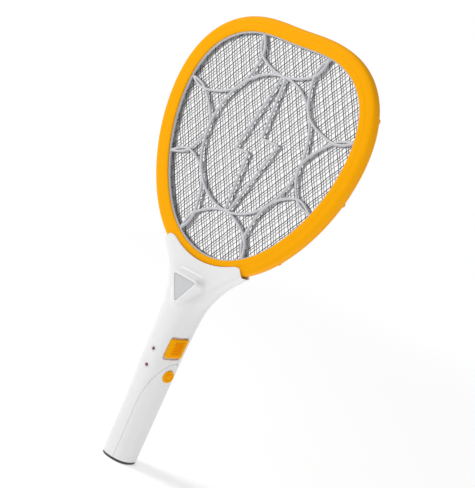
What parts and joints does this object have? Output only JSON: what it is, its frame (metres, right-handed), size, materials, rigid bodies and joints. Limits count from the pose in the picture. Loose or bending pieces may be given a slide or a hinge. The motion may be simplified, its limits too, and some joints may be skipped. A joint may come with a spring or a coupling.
{
  "type": "electric fly swatter",
  "caption": "Electric fly swatter shaped like a racket: egg-shaped head with wire grids behind guard grilles, moulded handle with lamp, slide switch and push button.",
  "frame": {"origin": "centre of the box round the racket, at the flat end of the handle", "axes": "+Z along the racket from the handle's end to the head, -Y out of the front with the lamp, +X to the right seen from the front"},
  "size_m": [0.252, 0.0408, 0.4899],
  "materials": {
    "orange_plastic": "satin",
    "white_plastic": "gloss",
    "grey_plastic": "satin",
    "wire_steel": "drawn wire",
    "screw_steel": "plated",
    "dark_plastic": "matt",
    "black_plastic": "matt",
    "frosted_lens": "frosted",
    "red_lens": "clear red",
    "circuit_board": "solder resist",
    "amber_winding": "taped",
    "red_capacitor": "dipped",
    "brass_tab": "pressed",
    "bright_steel": "plated",
    "red_lead": "insulated",
    "black_lead": "insulated"
  },
  "bodies": {
    "racket": {"back_grid": "wire_steel", "back_grid_lead": "black_lead", "back_grille": "grey_plastic", "back_spacer": "grey_plastic", "battery": "black_plastic", "battery_lead_minus": "black_lead", "battery_lead_plus": "red_lead", "battery_tab_minus": "brass_tab", "battery_tab_plus": "brass_tab", "bleed_resistor": "amber_winding", "button_spring": "bright_steel", "centre_grid": "wire_steel", "centre_grid_lead": "red_lead", "charging_socket": "bright_steel", "drive_transistor": "black_plastic", "end_cap": "dark_plastic", "front_grid": "wire_steel", "front_grid_lead": "black_lead", "front_grille": "grey_plastic", "front_spacer": "grey_plastic", "handle_back_shell": "white_plastic", "handle_front_shell": "white_plastic", "handle_screw_1": "screw_steel", "handle_screw_2": "screw_steel", "handle_screw_3": "screw_steel", "handle_screw_4": "screw_steel", "handle_screw_5": "screw_steel", "head_back_ring": "orange_plastic", "head_front_ring": "orange_plastic", "indicator_lower": "red_lens", "indicator_upper": "red_lens", "lamp_board": "circuit_board", "lamp_lead": "red_lead", "lamp_led": "frosted_lens", "lamp_lens": "frosted_lens", "main_board": "circuit_board", "main_capacitor": "red_capacitor", "push_switch": "black_plastic", "rectifier_diode_1": "black_plastic", "rectifier_diode_2": "black_plastic", "ring_screw_1": "screw_steel", "ring_screw_2": "screw_steel", "ring_screw_3": "screw_steel", "ring_screw_4": "screw_steel", "ring_screw_5": "screw_steel", "ring_screw_6": "screw_steel", "ring_screw_7": "screw_steel", "ring_screw_8": "screw_steel", "side_panel": "white_plastic", "slide_switch_body": "black_plastic", "transformer": "amber_winding"},
    "slide": {"slide_knob": "orange_plastic"},
    "button": {"push_button": "orange_plastic"}
  },
  "joints": [
    {"name": "slide_switch", "type": "slide", "parent": "racket", "child": "slide", "axis": [0, 0, 1], "range_m": [-0.002, 0.002]},
    {"name": "button_press", "type": "slide", "parent": "racket", "child": "button", "axis": [-0.9848, 0.1736, 0], "range_m": [0, 0.0012], "stiffness_N_per_m": 400, "springref_m": -0.001, "deforming": ["button_spring"]}
  ]
}
